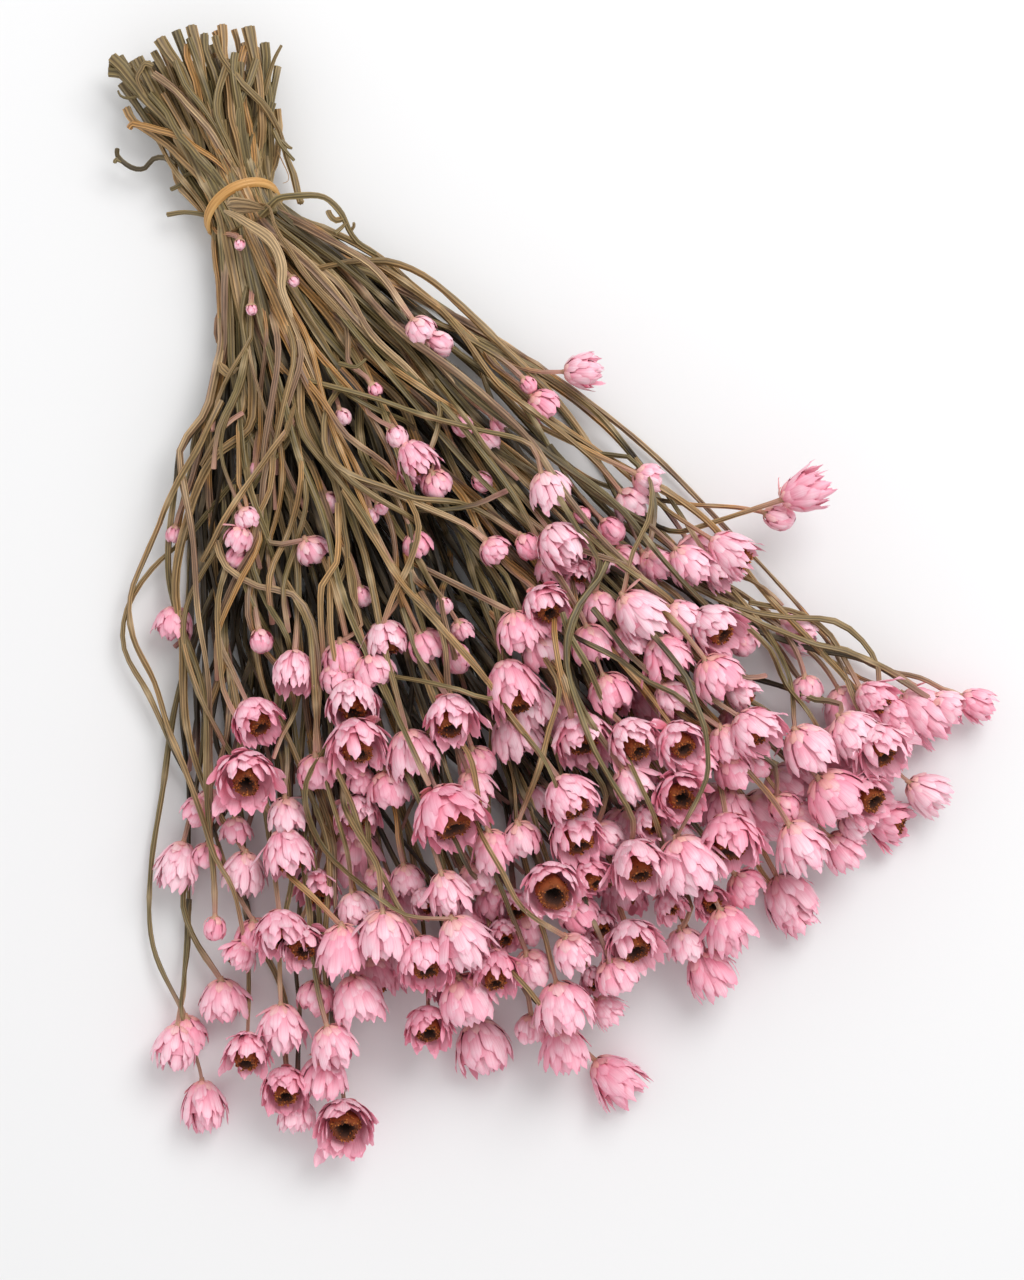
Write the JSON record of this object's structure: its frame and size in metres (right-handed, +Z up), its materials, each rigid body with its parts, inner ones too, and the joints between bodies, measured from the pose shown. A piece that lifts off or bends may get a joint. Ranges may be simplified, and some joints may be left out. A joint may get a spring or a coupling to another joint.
{
  "type": "bunch of dried strawflowers",
  "caption": "Loose fan of dried pink strawflowers on thin woody stems, tied near the cut ends with a rubber band and laid flat.",
  "frame": {"origin": "on the surface the bunch lies on, below the middle of its bounding box", "axes": "+Y along the bunch from the flowers to the cut ends, +Z up from the surface it lies on, +X across the fan"},
  "size_m": [0.3224, 0.413, 0.0679],
  "materials": {
    "dry_stem": "dry ribbed stem, matt, tan to grey-green",
    "open_bracts": "papery pink bracts with a fine lengthwise vein, slightly translucent",
    "bell_bracts": "papery pink bracts closed into a bell, slightly translucent",
    "bud_bracts": "tight papery bud, deeper pink",
    "rubber_band": "matt amber rubber"
  },
  "bodies": {
    "root": {"bell_flower_01": "bell_bracts", "bell_flower_04": "bell_bracts", "bell_flower_05": "bell_bracts", "bell_flower_06": "bell_bracts", "bell_flower_07": "bell_bracts", "bell_flower_08": "bell_bracts", "bell_flower_10": "bell_bracts", "bell_flower_14": "bell_bracts", "bell_flower_15": "bell_bracts", "bell_flower_19": "bell_bracts", "bell_flower_21": "bell_bracts", "bell_flower_25": "bell_bracts", "bell_flower_26": "bell_bracts", "bell_flower_27": "bell_bracts", "bell_flower_28": "bell_bracts", "open_flower_02": "open_bracts", "open_flower_03": "open_bracts", "open_flower_09": "open_bracts", "open_flower_11": "open_bracts", "open_flower_12": "open_bracts", "open_flower_13": "open_bracts", "open_flower_16": "open_bracts", "open_flower_17": "open_bracts", "open_flower_18": "open_bracts", "open_flower_20": "open_bracts", "open_flower_22": "open_bracts", "open_flower_23": "open_bracts", "open_flower_24": "open_bracts", "rubber_band": "rubber_band", "side_bell_flower_01": "bell_bracts", "side_bell_flower_19": "bell_bracts", "side_bud_04": "bud_bracts", "stem_01": "dry_stem", "stem_02": "dry_stem", "stem_03": "dry_stem", "stem_04": "dry_stem", "stem_05": "dry_stem", "stem_06": "dry_stem", "stem_07": "dry_stem", "stem_08": "dry_stem", "stem_09": "dry_stem", "stem_10": "dry_stem", "stem_11": "dry_stem", "stem_12": "dry_stem", "stem_13": "dry_stem", "stem_14": "dry_stem", "stem_15": "dry_stem", "stem_16": "dry_stem", "stem_17": "dry_stem", "stem_18": "dry_stem", "stem_19": "dry_stem", "stem_20": "dry_stem", "stem_21": "dry_stem", "stem_22": "dry_stem", "stem_23": "dry_stem", "stem_24": "dry_stem", "stem_25": "dry_stem", "stem_26": "dry_stem", "stem_27": "dry_stem", "stem_28": "dry_stem"}
  },
  "joints": []
}
